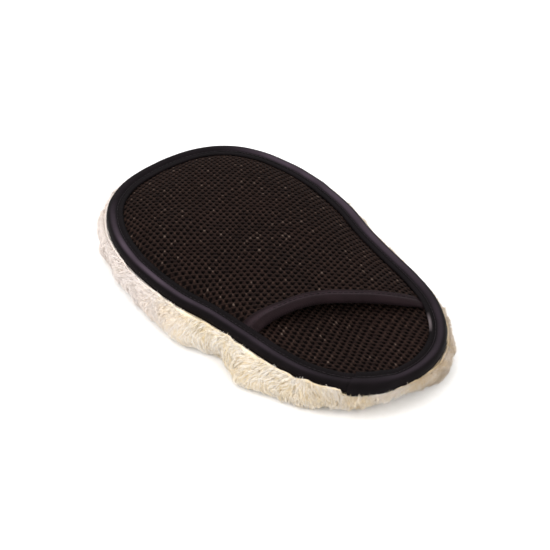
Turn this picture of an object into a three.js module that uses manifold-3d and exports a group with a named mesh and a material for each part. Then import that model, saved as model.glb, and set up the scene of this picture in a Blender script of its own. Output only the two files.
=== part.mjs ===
// A single-sided car wash mitt: a pad of cream wool pile under the palm, and a pocket of brown spacer
// mesh over the back of the hand. Both are bound round the edge with one folded tape, and the pocket's
// mouth, cut at a slant so that the thumb stays outside, has a folded tape of its own.
// Millimetres, +Z up, +Y towards the finger end. The pile's underside rests on z = 0.
import * as THREE from 'three';
import { mergeVertices } from 'three/addons/utils/BufferGeometryUtils.js';
import Module from 'manifold-3d';

const wasm = await Module();
wasm.setup();

// Outline of the bound edge: half width and y, from the finger end down to the cuff end.
const HALF_OUTLINE = [
  [0, 115], [27, 111], [45, 100], [57.5, 81], [64, 57], [65.5, 37], [63.5, 10], [58.5, -12],
  [55, -36], [51.5, -62], [46.5, -80], [36, -98], [20.5, -110.5], [0, -115],
];
const LEAN = { from: -50, slope: 0.008 }; // the finger end sits a little to the little-finger side
const STATIONS = 64; // steps round the outline
const GAP = 0.35; // between touching pieces
const TAPE = 0.8; // binding tape, with its raw edge turned under

// Layers from the backing up. The palm mesh and the cover are pressed thin inside the binding's grip.
const RIM = -2.2; // outset of every layer's cut edge from the bound outline
const GRIP = -10.4; // outset of the line inside which the layers swell to full thickness
const BACKING = { low: 17.3, high: 18.1 };
const FOAM = { low: 18.4, high: 19.2 };
const PALM = { low: 19.5, highAtGrip: 20.4, high: 21.3 };
const COVER = { lowAtGrip: 20.75, highAtGrip: 21.65, thick: 2, rise: 11 };
const SWELL = 0.66; // share of the inner outline inside which the palm mesh is at full thickness

// Binding tape round the edge: outside heights, its reach over the layers and its lapped end.
const EDGE = { low: 16.2, high: 22.8, reach: 10, lap: 15, lapEase: 8, joint: 0.44 };
const LAP_DISTANCES = [0, 5, 10, 15, 17, 19, 21, 23]; // stations over the lap and its easing
const HEM = { reach: 7.3, mouthSlack: 0.5, inset: 14, threadInset: 18, stations: 28 };
// Cut edge of the mouth, from the outline on the thumb side to the outline on the little-finger side.
const MOUTH = [[-54, -36.5], [-34, -39.8], [-11.5, -47.3], [10.6, -62.9], [30.5, -76.4], [46.5, -82]];
const THREAD = { radius: 0.25, sides: 6, edgeInset: 6.2, hemInset: 4.8 };

// Outset, height and share of the fullness, from the recess under the binding round to the ground.
const PILE_SIDE = [
  [1.6, 13.6, 0], [1.6, 16.6, 0], [2.6, 17.4, 0], [4.4, 15.8, 0.2], [5.8, 12, 0.6],
  [6.2, 8, 0.9], [5.4, 3.6, 1], [2.6, 0.8, 1], [-2, 0, 1],
];
// How much fuller than that the pile lies, at shares of the outline from the finger end by the thumb
// side: it spills out at the waist, with a notch, and is pressed under at the two ends.
const FULLNESS = [
  [0, -2.7], [0.1, -1], [0.135, -1.6], [0.2, 0.3], [0.26, 5], [0.295, 2.5], [0.335, 6.5],
  [0.39, 1], [0.43, -3.5], [0.49, -4], [0.53, -1.5], [0.57, -0.8], [0.9, -0.8], [1, -2.7],
];
const PILE = { top: 17, recess: 13.6, recessAt: -10.8 };

const FINISH = {
  pile: { color: 0xe9dcc4, roughness: 1 },
  backing: { color: 0xd9cdb6, roughness: 0.95 },
  foam: { color: 0xd8d4c8, roughness: 0.9 },
  mesh: { color: 0x38231f, roughness: 0.75 },
  tape: { color: 0x2e2429, roughness: 0.6 },
  thread: { color: 0x231b1f, roughness: 0.5 },
};

function outlinePoint(x, y) {
  return new THREE.Vector3(x + Math.max(0, y - LEAN.from) * LEAN.slope, y, 0);
}

const outline = new THREE.CatmullRomCurve3(
  [
    ...HALF_OUTLINE.map(([half, y]) => outlinePoint(-half, y)),
    ...HALF_OUTLINE.slice(1, -1).reverse().map(([half, y]) => outlinePoint(half, y)),
  ],
  true,
  'centripetal',
);
const PERIMETER = outline.getLength();

// A place on a plan curve: its point, and the unit normal to the right of the way the curve runs.
function stationOn(curve, share) {
  const point = curve.getPointAt(share);
  const way = curve.getTangentAt(share);
  return { point, normal: new THREE.Vector3(way.y, -way.x, 0).normalize() };
}

const ROUND = Array.from({ length: STATIONS }, (_, i) => stationOn(outline, i / STATIONS));

function fullnessAt(share) {
  const k = FULLNESS.findIndex(([at]) => at > share);
  const [from, before] = FULLNESS[k - 1];
  const [to, after] = FULLNESS[k];
  return before + (after - before) * THREE.MathUtils.smoothstep(share, from, to);
}

// Plan points at an outset from the outline, which may take a share of the pile's fullness.
function contour(outset, full = 0) {
  return ROUND.map(({ point, normal }, i) =>
    point.clone().addScaledVector(normal, outset + full * fullnessAt(i / STATIONS)));
}

const INNER = contour(GRIP);

// Share of the way from the middle to the inner outline, for any plan point.
function shareOut(x, y) {
  const angle = Math.atan2(x, y);
  for (let i = 0; i < STATIONS; i++) {
    const a = INNER[i];
    const b = INNER[(i + 1) % STATIONS];
    const from = Math.atan2(a.x, a.y);
    let turn = Math.atan2(b.x, b.y) - from;
    turn -= 2 * Math.PI * Math.round(turn / (2 * Math.PI));
    let at = angle - from;
    at -= 2 * Math.PI * Math.round(at / (2 * Math.PI));
    if (at / turn >= 0 && at / turn <= 1 && Math.abs(at) <= Math.abs(turn)) {
      const cross = a.x * b.y - a.y * b.x;
      const along = (a.x * y - a.y * x) / cross;
      const across = (x * b.y - y * b.x) / cross;
      return along + across;
    }
  }
  throw new Error(`no sector holds ${x}, ${y}`);
}

// The hand cover's swell over share, stated at its rings and straight between them.
const COVER_RINGS = [1, 0.985, 0.96, 0.92, 0.86, 0.78, 0.68, 0.55, 0.4, 0.2, 0];
const FULL_THICK_AT = 0.92;

function coverAtRing(share) {
  const high = COVER.highAtGrip + COVER.rise * (1 - share * share) ** 0.6;
  const thin = COVER.highAtGrip - COVER.lowAtGrip;
  const full = Math.min(1, (1 - share) / (1 - FULL_THICK_AT));
  return { high, low: high - thin - (COVER.thick - thin) * full };
}

function coverAt(x, y) {
  const share = Math.min(1, shareOut(x, y));
  const outer = Math.max(1, COVER_RINGS.findIndex((ring) => ring <= share));
  const a = COVER_RINGS[outer - 1];
  const b = COVER_RINGS[outer];
  const t = (a - share) / (a - b);
  const from = coverAtRing(a);
  const to = coverAtRing(b);
  return { high: from.high + (to.high - from.high) * t, low: from.low + (to.low - from.low) * t };
}

function geometryOf(positions, triangles) {
  const geometry = new THREE.BufferGeometry();
  geometry.setAttribute('position', new THREE.Float32BufferAttribute(positions.flat(), 3));
  geometry.setIndex(triangles.flat());
  geometry.computeVertexNormals();
  return geometry;
}

// A closed body built of rings of { outset, z, full } or { share, z }, from the top's middle out over the
// edge and back to the underside's middle.
function ringSolid(rings) {
  const positions = [];
  const triangles = [];
  const first = rings.map(({ outset, full, share, z }) => {
    const start = positions.length;
    if (share === 0) positions.push([0, 0, z]);
    else {
      const plan = share === undefined
        ? contour(outset, full)
        : INNER.map((p) => p.clone().multiplyScalar(share));
      plan.forEach((p) => positions.push([p.x, p.y, z]));
    }
    return start;
  });
  for (let j = 0; j + 1 < rings.length; j++) {
    for (let i = 0; i < STATIONS; i++) {
      const k = (i + 1) % STATIONS;
      const [a, b] = [first[j], first[j + 1]];
      if (rings[j].share !== 0) triangles.push([a + i, (rings[j + 1].share === 0 ? b : b + k), a + k]);
      if (rings[j + 1].share !== 0) triangles.push([(rings[j].share === 0 ? a : a + i), b + i, b + k]);
    }
  }
  return geometryOf(positions, triangles);
}

// A closed body swept past stations; sectionAt gives the same number of [offset, z] points at each.
function sweep(stations, sectionAt, closed) {
  const sections = stations.map(sectionAt);
  const count = sections[0].length;
  const positions = stations.flatMap(({ point, normal }, i) =>
    sections[i].map(([offset, z]) => [point.x + normal.x * offset, point.y + normal.y * offset, z]));
  const triangles = [];
  const spans = closed ? stations.length : stations.length - 1;
  for (let i = 0; i < spans; i++) {
    const here = i * count;
    const there = ((i + 1) % stations.length) * count;
    for (let j = 0; j < count; j++) {
      const k = (j + 1) % count;
      triangles.push([here + j, here + k, there + k], [here + j, there + k, there + j]);
    }
  }
  if (!closed) {
    const last = (stations.length - 1) * count;
    const cap = (section) =>
      THREE.ShapeUtils.triangulateShape(section.map(([x, z]) => new THREE.Vector2(x, z)), []);
    cap(sections[0]).forEach(([a, b, c]) => triangles.push([a, b, c]));
    cap(sections.at(-1)).forEach(([a, b, c]) => triangles.push([last + a, last + c, last + b]));
  }
  return geometryOf(positions, triangles);
}

function manifoldOf(geometry) {
  const bare = geometry.clone();
  bare.deleteAttribute('normal');
  const merged = mergeVertices(bare, 1e-4);
  return new wasm.Manifold(new wasm.Mesh({
    numProp: 3,
    vertProperties: merged.attributes.position.array,
    triVerts: new Uint32Array(merged.index.array),
  }));
}

function geometryFrom(manifold) {
  const { vertProperties, triVerts } = manifold.getMesh();
  const geometry = new THREE.BufferGeometry();
  geometry.setAttribute('position', new THREE.BufferAttribute(vertProperties, 3));
  geometry.setIndex(new THREE.BufferAttribute(triVerts, 1));
  geometry.computeVertexNormals();
  return geometry;
}

const hem = new THREE.CatmullRomCurve3(MOUTH.map(([x, y]) => new THREE.Vector3(x, y, 0)));

// Stations along the mouth between its two ends, inset along the curve, with the normal towards the cuff.
function hemStations(inset) {
  const length = hem.getLength();
  return Array.from({ length: HEM.stations }, (_, i) => {
    const share = (inset + ((length - 2 * inset) * i) / (HEM.stations - 1)) / length;
    return stationOn(hem, Math.min(1, share));
  });
}

function woolPile() {
  return ringSolid([
    { share: 0, z: PILE.top },
    { outset: PILE.recessAt, z: PILE.top },
    { outset: PILE.recessAt + 0.2, z: PILE.recess },
    ...PILE_SIDE.map(([outset, z, full]) => ({ outset, z, full })),
    { share: 0, z: 0 },
  ]);
}

function pileBacking() {
  return ringSolid([
    { share: 0, z: BACKING.high },
    { outset: RIM, z: BACKING.high },
    { outset: RIM, z: BACKING.low },
    { share: 0, z: BACKING.low },
  ]);
}

function foamPad() {
  return ringSolid([
    { share: 0, z: FOAM.high },
    { outset: RIM, z: FOAM.high },
    { outset: RIM, z: FOAM.low },
    { share: 0, z: FOAM.low },
  ]);
}

function palmMesh() {
  return ringSolid([
    { share: 0, z: PALM.high },
    { share: SWELL, z: PALM.high },
    { share: 1, z: PALM.highAtGrip },
    { outset: RIM, z: PALM.highAtGrip },
    { outset: RIM, z: PALM.low },
    { share: 0, z: PALM.low },
  ]);
}

// The whole dome, less everything on the cuff side of the mouth.
function handCover() {
  const over = COVER_RINGS.map((share) => ({ share, z: coverAtRing(share).high })).reverse();
  const under = COVER_RINGS.map((share) => ({ share, z: coverAtRing(share).low }));
  const dome = ringSolid([
    ...over,
    { outset: RIM, z: COVER.highAtGrip },
    { outset: RIM, z: COVER.lowAtGrip },
    ...under,
  ]);
  const edge = hemStations(0).map(({ point }) => point);
  const [a, b] = [edge[0], edge.at(-1)];
  const past = 20;
  const beyondLeft = a.clone().add(a.clone().sub(edge[1]).setLength(past));
  const beyondRight = b.clone().add(b.clone().sub(edge.at(-2)).setLength(past));
  const below = -160;
  const cuffSide = new THREE.Shape([
    new THREE.Vector2(beyondLeft.x, below),
    new THREE.Vector2(beyondRight.x, below),
    new THREE.Vector2(beyondRight.x, beyondRight.y),
    ...edge.map((p) => new THREE.Vector2(p.x, p.y)).reverse(),
    new THREE.Vector2(beyondLeft.x, beyondLeft.y),
  ]);
  const cutter = new THREE.ExtrudeGeometry(cuffSide, { depth: 60, bevelEnabled: false });
  cutter.deleteAttribute('uv');
  return geometryFrom(manifoldOf(dome).subtract(manifoldOf(cutter)));
}

// One tape folded round the edge. It starts on the outside of its own end, and drops to its place
// once it has passed it.
function lapLift(distance) {
  const t = THREE.MathUtils.clamp((distance - EDGE.lap) / EDGE.lapEase, 0, 1);
  return (TAPE + GAP) * (1 - t * t * (3 - 2 * t));
}

function edgeSection(lift) {
  const [high, low] = [EDGE.high + lift, EDGE.low - lift];
  const inside = TAPE;
  return [
    [-EDGE.reach, high - inside],
    [-2 + lift, high - inside],
    [-inside + lift, high - inside - 0.6],
    [-inside + lift, low + inside + 0.6],
    [-2 + lift, low + inside],
    [-EDGE.reach, low + inside],
    [-EDGE.reach, low],
    [-2.4 + lift, low],
    [-0.6 + lift, low + 0.6],
    [lift, low + 1.8],
    [lift, high - 1.8],
    [-0.6 + lift, high - 0.6],
    [-2.4 + lift, high],
    [-EDGE.reach, high],
  ].reverse();
}

function alongEdge(distance) {
  return { ...stationOn(outline, (EDGE.joint + distance / PERIMETER) % 1), distance };
}

function edgeBinding() {
  const underLap = EDGE.lap - 2;
  const lapped = LAP_DISTANCES.at(-1);
  const rest = STATIONS - 2;
  const plain = Array.from({ length: rest }, (_, i) =>
    lapped + ((PERIMETER + underLap - lapped) * (i + 1)) / rest);
  const stations = [...LAP_DISTANCES, ...plain].map(alongEdge);
  return sweep(stations, ({ distance }) => edgeSection(lapLift(distance)), false);
}

function roundSection(offset, z) {
  return Array.from({ length: THREAD.sides }, (_, i) => {
    const angle = (-2 * Math.PI * i) / THREAD.sides;
    return [offset + THREAD.radius * Math.cos(angle), z + THREAD.radius * Math.sin(angle)];
  });
}

// Thread round the edge, on one face of the binding. side is 1 on top and -1 underneath.
function edgeThread(side) {
  const face = side > 0 ? EDGE.high : EDGE.low;
  const stepUp = 3;
  const lapped = LAP_DISTANCES.at(-1);
  const rest = STATIONS - 3;
  const plain = Array.from({ length: rest }, (_, i) =>
    lapped + ((PERIMETER - stepUp - lapped) * (i + 1)) / rest);
  return sweep([...LAP_DISTANCES, ...plain].map(alongEdge), ({ distance }) =>
    roundSection(-THREAD.edgeInset, face + side * (lapLift(distance) + GAP + THREAD.radius)), true);
}

// Section of the mouth's tape at a station: over the cover, round its cut edge and back under it.
function hemSection({ point, normal }) {
  const at = (offset) => coverAt(point.x + normal.x * offset, point.y + normal.y * offset);
  const cut = at(0);
  const out = HEM.mouthSlack;
  const places = [-HEM.reach, -HEM.reach / 2];
  const over = (lift) => places.map((offset) => [offset, at(offset).high + lift]);
  const under = (drop) => places.map((offset) => [offset, at(offset).low - drop]).reverse();
  return [
    ...over(GAP),
    [out, cut.high + GAP],
    [out, cut.low - GAP],
    ...under(GAP),
    ...under(GAP + TAPE).reverse(),
    [out + 0.2, cut.low - GAP - TAPE],
    [out + TAPE, cut.low - GAP],
    [out + TAPE, cut.high + GAP],
    [out + 0.2, cut.high + GAP + TAPE],
    ...over(GAP + TAPE).reverse(),
  ].reverse();
}

function hemBinding() {
  return sweep(hemStations(HEM.inset), hemSection, false);
}

function hemThread(side) {
  return sweep(hemStations(HEM.threadInset), ({ point, normal }) => {
    const { high, low } = coverAt(
      point.x - normal.x * THREAD.hemInset, point.y - normal.y * THREAD.hemInset);
    const clear = GAP + TAPE + GAP + THREAD.radius;
    return roundSection(-THREAD.hemInset, side > 0 ? high + clear : low - clear);
  }, false);
}

function piece(name, geometry, finish) {
  const mesh = new THREE.Mesh(geometry, new THREE.MeshStandardMaterial({ ...finish, metalness: 0 }));
  mesh.name = name;
  return mesh;
}

const mitt = new THREE.Group();
mitt.add(
  piece('wool_pile', woolPile(), FINISH.pile),
  piece('pile_backing', pileBacking(), FINISH.backing),
  piece('foam_pad', foamPad(), FINISH.foam),
  piece('palm_mesh', palmMesh(), FINISH.mesh),
  piece('hand_cover', handCover(), FINISH.mesh),
  piece('edge_binding', edgeBinding(), FINISH.tape),
  piece('hem_binding', hemBinding(), FINISH.tape),
  piece('edge_needle_thread', edgeThread(1), FINISH.thread),
  piece('edge_bobbin_thread', edgeThread(-1), FINISH.thread),
  piece('hem_needle_thread', hemThread(1), FINISH.thread),
  piece('hem_bobbin_thread', hemThread(-1), FINISH.thread),
);

export default mitt;
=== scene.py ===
import math

import bpy
import numpy as np
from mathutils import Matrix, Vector


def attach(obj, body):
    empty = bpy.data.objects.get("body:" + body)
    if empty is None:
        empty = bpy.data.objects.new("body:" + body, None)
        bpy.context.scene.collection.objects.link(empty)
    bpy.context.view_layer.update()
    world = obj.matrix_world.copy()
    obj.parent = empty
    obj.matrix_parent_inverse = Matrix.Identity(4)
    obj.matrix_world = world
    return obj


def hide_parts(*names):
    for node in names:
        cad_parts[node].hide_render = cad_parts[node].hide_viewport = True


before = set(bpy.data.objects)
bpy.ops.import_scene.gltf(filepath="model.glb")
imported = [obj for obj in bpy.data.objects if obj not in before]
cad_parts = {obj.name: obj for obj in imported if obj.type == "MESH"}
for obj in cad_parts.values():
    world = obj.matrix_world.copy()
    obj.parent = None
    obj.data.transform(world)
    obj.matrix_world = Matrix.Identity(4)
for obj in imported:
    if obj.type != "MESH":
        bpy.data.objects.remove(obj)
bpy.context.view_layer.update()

MM = 0.001
SEED = 71

# ------------------------------------------------------------------ the pattern the mitt is cut to
# Half width and y of the bound outline, finger end to cuff end, as the solids have it, in millimetres.
HALF_OUTLINE = [
    (0, 115), (27, 111), (45, 100), (57.5, 81), (64, 57), (65.5, 37), (63.5, 10), (58.5, -12),
    (55, -36), (51.5, -62), (46.5, -80), (36, -98), (20.5, -110.5), (0, -115),
]
LEAN_FROM, LEAN_SLOPE = -50, 0.008  # the finger end sits a little to the little-finger side
GRIP = -10.4  # outset of the line along which the edge tape lets go of the layers
PALM_LOW, PALM_AT_GRIP, PALM_TOP = 19.5, 20.5, 21.3  # heights of its underside, and of its top
PALM_SHOULDER = 0.34  # share of the way in over which the palm comes up from the grip to its top
COVER_AT_GRIP, COVER_RISE = 21.45, 11.0
COVER_THIN, COVER_FULL = 0.7, 1.9  # thickness of the cover in the binding's grip, and clear of it
MOUTH = [(-54, -36.5), (-34, -39.8), (-11.5, -47.3), (10.6, -62.9), (30.5, -76.4), (46.5, -82)]
LAP_JOINT = 0.44  # share of the outline, from the finger end by the left side, where the tape starts

# Steps from hole to hole in the spacer mesh, along its two ways, in millimetres. The palm's panel is
# drawn out lengthwise.
COVER_KNIT = np.array([(2.92, 0.81), (0.26, 3.55)])
PALM_KNIT = np.array([(2.34, 1.07), (-0.08, 4.09)])


def smooth_through(points, closed, per=24):
    """The centripetal curve through plan points, as many short steps."""
    p = np.asarray(points, float)
    if not closed:
        p = np.vstack([2 * p[0] - p[1], p, 2 * p[-1] - p[-2]])
    n = len(p)
    spans = range(n) if closed else range(1, n - 2)
    out = []
    for i in spans:
        p0, p1, p2, p3 = p[i - 1], p[i], p[(i + 1) % n], p[(i + 2) % n]
        d0, d1, d2 = (np.linalg.norm(b - a) ** 0.5 for a, b in ((p0, p1), (p1, p2), (p2, p3)))
        m1 = ((p1 - p0) / d0 - (p2 - p0) / (d0 + d1) + (p2 - p1) / d1) * d1
        m2 = ((p2 - p1) / d1 - (p3 - p1) / (d1 + d2) + (p3 - p2) / d2) * d1
        t = np.linspace(0, 1, per, endpoint=False)[:, None]
        out.append((2 * t**3 - 3 * t**2 + 1) * p1 + (t**3 - 2 * t**2 + t) * m1
                   + (-2 * t**3 + 3 * t**2) * p2 + (t**3 - t**2) * m2)
    return np.concatenate(out if closed else out + [p[-2:-1]])


def outline_point(x, y):
    return x + max(0, y - LEAN_FROM) * LEAN_SLOPE, y


LEFT_SIDE = [outline_point(-half, y) for half, y in HALF_OUTLINE]
RIGHT_SIDE = [outline_point(half, y) for half, y in HALF_OUTLINE[-2:0:-1]]
EDGE = smooth_through(LEFT_SIDE + RIGHT_SIDE, True)
EDGE_STEPS = np.linalg.norm(np.roll(EDGE, -1, 0) - EDGE, axis=1)
EDGE_RUN = np.concatenate([[0], np.cumsum(EDGE_STEPS)])
PERIMETER = EDGE_RUN[-1]


def on_edge(run):
    """Points of the outline, and its outward normals, at these distances along it."""
    run = np.mod(np.asarray(run, float), PERIMETER)
    loop = np.vstack([EDGE, EDGE[:1]])
    at = lambda r: np.stack([np.interp(r, EDGE_RUN, loop[:, k]) for k in (0, 1)], -1)
    way = at(np.mod(run + 0.8, PERIMETER)) - at(np.mod(run - 0.8, PERIMETER))
    way /= np.linalg.norm(way, axis=-1, keepdims=True)
    return at(run), np.stack([way[..., 1], -way[..., 0]], -1)


def contour(outset, steps=720):
    point, normal = on_edge(np.arange(steps) * PERIMETER / steps)
    return point + normal * outset


def angle_of(xy):
    return np.arctan2(xy[..., 0], xy[..., 1])


def share_out(xy):
    """How far out a plan point is, from 0 in the middle to 1 at the grip."""
    rim = contour(GRIP)
    turn = angle_of(rim)
    order = np.argsort(turn)
    reach = np.linalg.norm(rim, axis=1)
    limit = np.interp(angle_of(xy), turn[order], reach[order], period=2 * math.pi)
    return np.linalg.norm(xy, axis=-1) / limit


def outset_of(xy):
    """Signed distance of plan points from the outline, positive outside."""
    rim, normal = on_edge(np.arange(900) * PERIMETER / 900)
    flat = np.asarray(xy, float).reshape(-1, 2)
    found = np.empty(len(flat))
    for i in range(0, len(flat), 4000):
        gap = flat[i:i + 4000, None] - rim[None]
        near = np.argmin((gap**2).sum(-1), axis=1)
        found[i:i + 4000] = (gap[np.arange(len(near)), near] * normal[near]).sum(-1)
    return found.reshape(np.asarray(xy).shape[:-1])


MOUTH_EDGE = smooth_through(MOUTH, False)
MOUTH_RUN = np.concatenate([[0], np.cumsum(np.linalg.norm(np.diff(MOUTH_EDGE, axis=0), axis=1))])


def mouth_line(share):
    """Plan points of the mouth's cut edge, thumb side to little-finger side, and normals to the cuff.
    Past its ends the line runs straight on."""
    run = np.asarray(share, float) * MOUTH_RUN[-1]

    def at(r):
        held = np.clip(r, 0, MOUTH_RUN[-1])
        point = np.stack([np.interp(held, MOUTH_RUN, MOUTH_EDGE[:, k]) for k in (0, 1)], -1)
        first, last = MOUTH_EDGE[1] - MOUTH_EDGE[0], MOUTH_EDGE[-1] - MOUTH_EDGE[-2]
        ends = np.where((r < 0)[..., None], first, last)
        ends = ends / np.linalg.norm(ends, axis=-1, keepdims=True)
        return point + ends * (r - held)[..., None]

    way = at(run + 1.0) - at(run - 1.0)
    way /= np.linalg.norm(way, axis=-1, keepdims=True)
    return at(run), np.stack([way[..., 1], -way[..., 0]], -1)


def past_mouth(xy):
    """Signed distance from the mouth's edge, positive on the cuff side."""
    line, normal = mouth_line(np.linspace(-0.15, 1.15, 400))
    flat = np.asarray(xy, float).reshape(-1, 2)
    gap = flat[:, None] - line[None]
    near = np.argmin((gap**2).sum(-1), axis=1)
    found = (gap[np.arange(len(near)), near] * normal[near]).sum(-1)
    return found.reshape(np.asarray(xy).shape[:-1])


def waves(xy, seed, size, octaves=3):
    """Smooth seeded unevenness between about -1 and 1, its largest bumps this many millimetres long."""
    rng = np.random.default_rng(seed)
    total, weight = np.zeros(np.asarray(xy).shape[:-1]), 0.0
    for octave in range(octaves):
        for _ in range(5):
            turn, phase = rng.uniform(0, 2 * math.pi, 2)
            step = 2 * math.pi / size * 1.9**octave * rng.uniform(0.75, 1.3)
            along = xy[..., 0] * math.cos(turn) + xy[..., 1] * math.sin(turn)
            total += np.sin(step * along + phase) * 0.6**octave
        weight += 0.6**octave
    return total / (2.2 * weight)


def cover_height(xy):
    share = np.clip(share_out(xy), 0, 1)
    swell = (1 - share**2)**0.6
    uneven = waves(xy, SEED + 1, 70, 2) * 0.45 * np.clip((1 - share) * 5, 0, 1)
    return COVER_AT_GRIP + COVER_RISE * swell + uneven


def cover_thick(xy):
    """The cover is pressed thin inside the binding's grip."""
    return COVER_THIN + (COVER_FULL - COVER_THIN) * np.clip((1 - share_out(xy)) / 0.08, 0, 1)


def palm_height(xy):
    share = np.clip(share_out(xy), 0, 1)
    lift = np.clip((1 - share) / PALM_SHOULDER, 0, 1)
    return PALM_AT_GRIP + (PALM_TOP - PALM_AT_GRIP) * lift * (2 - lift) + waves(xy, SEED + 2, 55, 2) * 0.15


def palm_thick(xy):
    return palm_height(xy) - PALM_LOW


# ------------------------------------------------------------------ meshes
def make_piece(name, points, faces, materials, uvs=None, slots=None):
    """A piece of the mitt from points in millimetres and faces of any number of corners."""
    mesh = bpy.data.meshes.new(name)
    if isinstance(faces, np.ndarray):
        corners, sizes = faces.ravel(), np.full(len(faces), faces.shape[1])
    else:
        corners, sizes = np.concatenate([np.ravel(f) for f in faces]), np.array([len(f) for f in faces])
    starts = np.concatenate([[0], np.cumsum(sizes)[:-1]])
    mesh.vertices.add(len(points))
    mesh.vertices.foreach_set("co", (np.asarray(points, float) * MM).astype(np.float32).ravel())
    mesh.loops.add(len(corners))
    mesh.loops.foreach_set("vertex_index", corners.astype(np.int32))
    mesh.polygons.add(len(sizes))
    mesh.polygons.foreach_set("loop_start", starts.astype(np.int32))
    mesh.update(calc_edges=True)
    if uvs is not None:
        layer = mesh.uv_layers.new(name="cloth")
        layer.data.foreach_set("uv", np.asarray(uvs, np.float32)[corners].ravel())
    for material in materials if isinstance(materials, (list, tuple)) else [materials]:
        mesh.materials.append(material)
    if slots is not None:
        mesh.polygons.foreach_set("material_index", np.asarray(slots, np.int32))
    mesh.polygons.foreach_set("use_smooth", np.full(len(sizes), True))
    piece = bpy.data.objects.new(name, mesh)
    bpy.context.scene.collection.objects.link(piece)
    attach(piece, "root")
    return piece


def tube_faces(rings, corners):
    """Quads of a tube whose points are numbered ring by ring."""
    i, j = np.arange(rings - 1)[:, None] * corners, np.arange(corners)[None]
    j2 = (j + 1) % corners
    return np.stack([i + j, i + j2, i + corners + j2, i + corners + j], -1).reshape(-1, 4)


def tape_along(name, plan, normal, section, material, run, slip=0.0):
    """A folded tape: section holds (offset, height) rings for each station, as one closed strip. slip
    moves its points back along the way it runs."""
    rows, columns = section.shape[:2]
    points = np.empty((rows, columns, 3))
    points[..., :2] = plan[:, None] + normal[:, None] * section[..., :1]
    points[..., 0] += normal[:, 1:] * slip
    points[..., 1] -= normal[:, :1] * slip
    points[..., 2] = section[..., 1]
    across = np.concatenate([[0], np.cumsum(np.linalg.norm(np.diff(section[0], axis=0), axis=1))])
    uvs = np.stack(np.broadcast_arrays(run[:, None], across[None]), -1)
    faces = [tuple(f) for f in tube_faces(rows, columns)]
    faces.append(tuple(range(columns - 1, -1, -1)))
    faces.append(tuple(range((rows - 1) * columns, rows * columns)))
    return make_piece(name, points.reshape(-1, 3), faces, material, uvs=uvs.reshape(-1, 2))


# ------------------------------------------------------------------ materials
def linear(code):
    """Linear colour of an sRGB hex value."""
    parts = [int(code[i:i + 2], 16) / 255 for i in (0, 2, 4)]
    return tuple(c / 12.92 if c <= 0.04045 else ((c + 0.055) / 1.055)**2.4 for c in parts) + (1.0,)


def new_finish(name, **sockets):
    finish = bpy.data.materials.new(name)
    finish.use_nodes = True
    shader = finish.node_tree.nodes["Principled BSDF"]
    for socket, value in sockets.items():
        shader.inputs[socket.replace("_", " ")].default_value = value
    return finish


def add(finish, kind, inputs=None, out=0, stops=(), **settings):
    """One node with its settings and the stops of its colour ramp. Inputs that come from another node
    are linked, the rest are set. Returns one of its outputs."""
    node = finish.node_tree.nodes.new("ShaderNode" + kind)
    for key, value in settings.items():
        setattr(node, key, value)
    for key, value in (inputs or {}).items():
        if isinstance(value, bpy.types.NodeSocket):
            finish.node_tree.links.new(value, node.inputs[key])
        else:
            node.inputs[key].default_value = value
    if stops:
        elements = node.color_ramp.elements
        while len(elements) < len(stops):
            elements.new(0.5)
        for element, (place, code) in zip(elements, stops):
            element.position = place
            element.color = linear(code)
    return node.outputs[out]


def product(finish, *shares):
    """The share of the surface that several shares leave together."""
    whole = shares[0]
    for share in shares[1:]:
        whole = add(finish, "Math", {0: whole, 1: share}, operation="MULTIPLY")
    return whole


def laid_together(finish, fine, share, coarse):
    """Two patterns as one, in which the fine one has this share."""
    return add(finish, "Math", {0: product(finish, fine, share), 1: product(finish, coarse, 1 - share)},
               operation="ADD")


def away_from(finish, value, middle):
    off = add(finish, "Math", {0: value, 1: middle}, operation="SUBTRACT")
    return add(finish, "Math", {0: off}, operation="ABSOLUTE")


def surface(finish, relief=None, strength=0.0, depth=0.0, **sockets):
    """Feeds the surface's sockets, and gives it a relief this many metres deep."""
    if relief is not None:
        sockets["Normal"] = add(finish, "Bump", {"Height": relief, "Strength": strength, "Distance": depth})
    shader = finish.node_tree.nodes["Principled BSDF"]
    for socket, source in sockets.items():
        finish.node_tree.links.new(source, shader.inputs[socket.replace("_", " ")])
    return finish


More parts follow.
